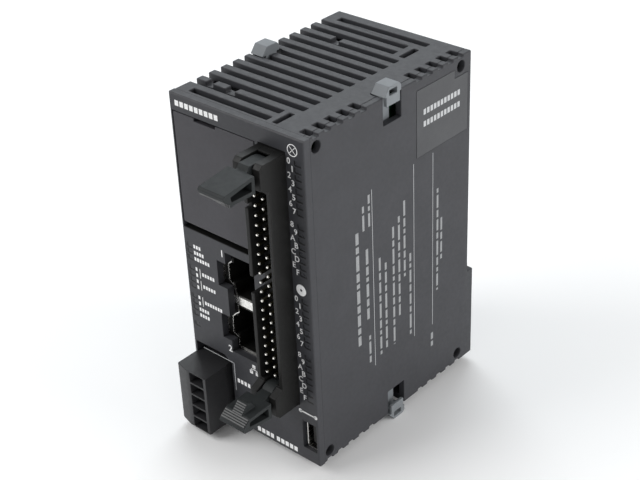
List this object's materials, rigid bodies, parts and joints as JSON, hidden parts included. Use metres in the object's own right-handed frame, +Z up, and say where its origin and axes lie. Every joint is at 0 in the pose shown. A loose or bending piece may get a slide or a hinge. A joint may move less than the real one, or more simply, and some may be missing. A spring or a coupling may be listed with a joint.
{
  "type": "plc module",
  "caption": "Rail-mounted controller module with a 40-pin box header, two network jacks, a pull-off terminal plug, a hinged door and sliding unit hooks.",
  "frame": {"origin": "middle of the flat seat on the rear that bears on a 35 mm mounting rail", "axes": "+X to the right side cover, +Y to the rail behind, +Z up; the front panel faces -Y"},
  "size_m": [0.0426, 0.0814, 0.0946],
  "materials": {
    "case": "fine moulded grain",
    "header_plastic": "moulded",
    "black_plastic": "moulded",
    "plug_plastic": "moulded",
    "hook": "moulded",
    "lever": "moulded",
    "seal": "printed film",
    "smoked_window": "smoked",
    "lamp": "clear",
    "board": "solder resist",
    "chip": "moulded",
    "can": "satin",
    "gold": "plated",
    "bright_metal": "tin plated",
    "steel": "zinc plated"
  },
  "bodies": {
    "housing": {"case_body": "case", "side_cover": "case", "front_bezel": "case", "rear_base": "case", "connector_seal": "seal", "mode_switch_body": "black_plastic", "card_socket": "bright_metal", "header_housing": "header_plastic", "header_pins": "gold", "header_tails": "gold", "latch_pins": "steel", "jack_shield": "bright_metal", "jack_insert_1": "black_plastic", "jack_insert_2": "black_plastic", "jack_contacts_1": "gold", "jack_contacts_2": "gold", "usb_shell": "bright_metal", "usb_tongue": "black_plastic", "port_header": "plug_plastic", "port_pins": "bright_metal", "port_tails": "bright_metal", "input_light_pipe": "smoked_window", "output_light_pipe": "smoked_window", "status_light_pipe": "smoked_window", "input_lamps": "lamp", "output_lamps": "lamp", "status_lamps": "lamp", "io_board": "board", "cpu_board": "board", "communication_board": "board", "board_connector": "black_plastic", "board_bridge": "black_plastic", "processor_chip": "chip", "power_capacitors": "can", "power_inductor": "chip", "output_transistors": "chip", "expansion_connector": "black_plastic", "lever_spring": "steel"},
    "door": {"door": "case"},
    "mode_knob": {"mode_switch_knob": "black_plastic"},
    "latch_top": {"latch_top": "header_plastic"},
    "latch_bottom": {"latch_bottom": "header_plastic"},
    "plug": {"plug_body": "plug_plastic", "plug_clamps": "steel", "plug_screws": "steel"},
    "hook_right_top": {"hook_right_top": "hook"},
    "hook_right_bottom": {"hook_right_bottom": "hook"},
    "hook_left_top": {"hook_left_top": "hook"},
    "hook_left_bottom": {"hook_left_bottom": "hook"},
    "din_lever": {"din_lever": "lever"}
  },
  "joints": [
    {"name": "door_hinge", "type": "hinge", "parent": "housing", "child": "door", "pos_m": [-0.0071, -0.059, 0.0112], "axis": [1, 0, 0], "range_deg": [0, 110]},
    {"name": "mode_switch_slide", "type": "slide", "parent": "housing", "child": "mode_knob", "axis": [0, 0, -1], "range_m": [0, 0.0026]},
    {"name": "latch_top_pivot", "type": "hinge", "parent": "housing", "child": "latch_top", "pos_m": [0.0113, -0.0642, 0.0366], "axis": [-1, 0, 0], "range_deg": [0, 50]},
    {"name": "latch_bottom_pivot", "type": "hinge", "parent": "housing", "child": "latch_bottom", "pos_m": [0.0113, -0.0642, -0.0242], "axis": [1, 0, 0], "range_deg": [0, 50]},
    {"name": "plug_pull", "type": "slide", "parent": "housing", "child": "plug", "axis": [0, -1, 0], "range_m": [0, 0.008]},
    {"name": "hook_right_top_slide", "type": "slide", "parent": "housing", "child": "hook_right_top", "axis": [0, 0, 1], "range_m": [0, 0.003]},
    {"name": "hook_right_bottom_slide", "type": "slide", "parent": "housing", "child": "hook_right_bottom", "axis": [0, 0, -1], "range_m": [0, 0.003]},
    {"name": "hook_left_top_slide", "type": "slide", "parent": "housing", "child": "hook_left_top", "axis": [0, 0, 1], "range_m": [0, 0.003]},
    {"name": "hook_left_bottom_slide", "type": "slide", "parent": "housing", "child": "hook_left_bottom", "axis": [0, 0, -1], "range_m": [0, 0.003]},
    {"name": "din_lever_slide", "type": "slide", "parent": "housing", "child": "din_lever", "axis": [0, 0, -1], "range_m": [0, 0.004], "stiffness_N_per_m": 1500, "springref_m": -0.001, "deforming": ["lever_spring"]}
  ]
}
